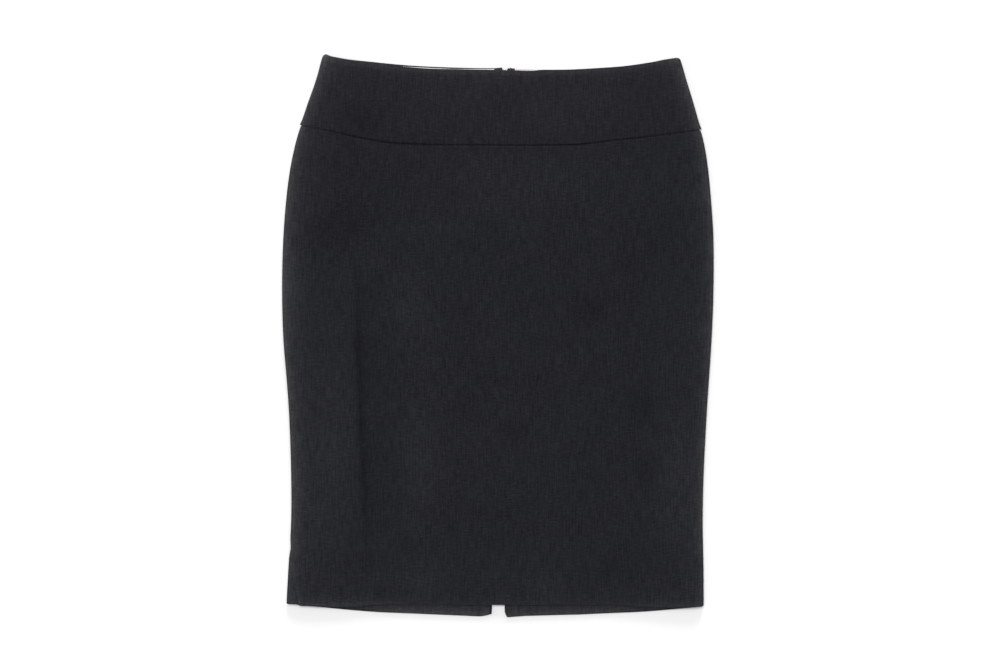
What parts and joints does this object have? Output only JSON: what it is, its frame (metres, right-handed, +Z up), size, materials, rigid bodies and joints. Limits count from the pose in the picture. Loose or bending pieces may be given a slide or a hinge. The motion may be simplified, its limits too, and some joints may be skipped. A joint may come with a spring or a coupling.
{
  "type": "pencil skirt laid flat",
  "caption": "Knee-length pencil skirt laid flat front up, with a shaped yoke, a closed back zip with a hinged pull tab and an open slit at the back hem.",
  "frame": {"origin": "middle of the laid outline, on the surface that the skirt lies on", "axes": "+Y from the hem to the waist, +X to the right of the laid front, +Z up from the surface, out of the front"},
  "size_m": [0.4654, 0.6052, 0.0084],
  "materials": {
    "charcoal_wool": "soft matt wool suiting, fine heathered weave",
    "pale_satin": "pale pinkish-grey satin",
    "zip_tape": "dark woven tape",
    "dark_enamel": "dark enamel on cast metal, worn at the edges"
  },
  "bodies": {
    "skirt": {"front_yoke": "charcoal_wool", "front_panel": "charcoal_wool", "back_yoke_left": "charcoal_wool", "back_yoke_right": "charcoal_wool", "back_panel_left": "charcoal_wool", "back_panel_right": "charcoal_wool", "back_facing_left": "pale_satin", "back_facing_right": "pale_satin", "zip_tape_left": "zip_tape", "zip_tape_right": "zip_tape", "zip_slider": "dark_enamel"},
    "pull_tab": {"zip_pull": "dark_enamel"}
  },
  "joints": [
    {"name": "pull_hinge", "type": "hinge", "parent": "skirt", "child": "pull_tab", "pos_m": [0.0053, 0.28017, 0.00105], "axis": [1, 0, 0], "range_deg": [0, 165]}
  ]
}
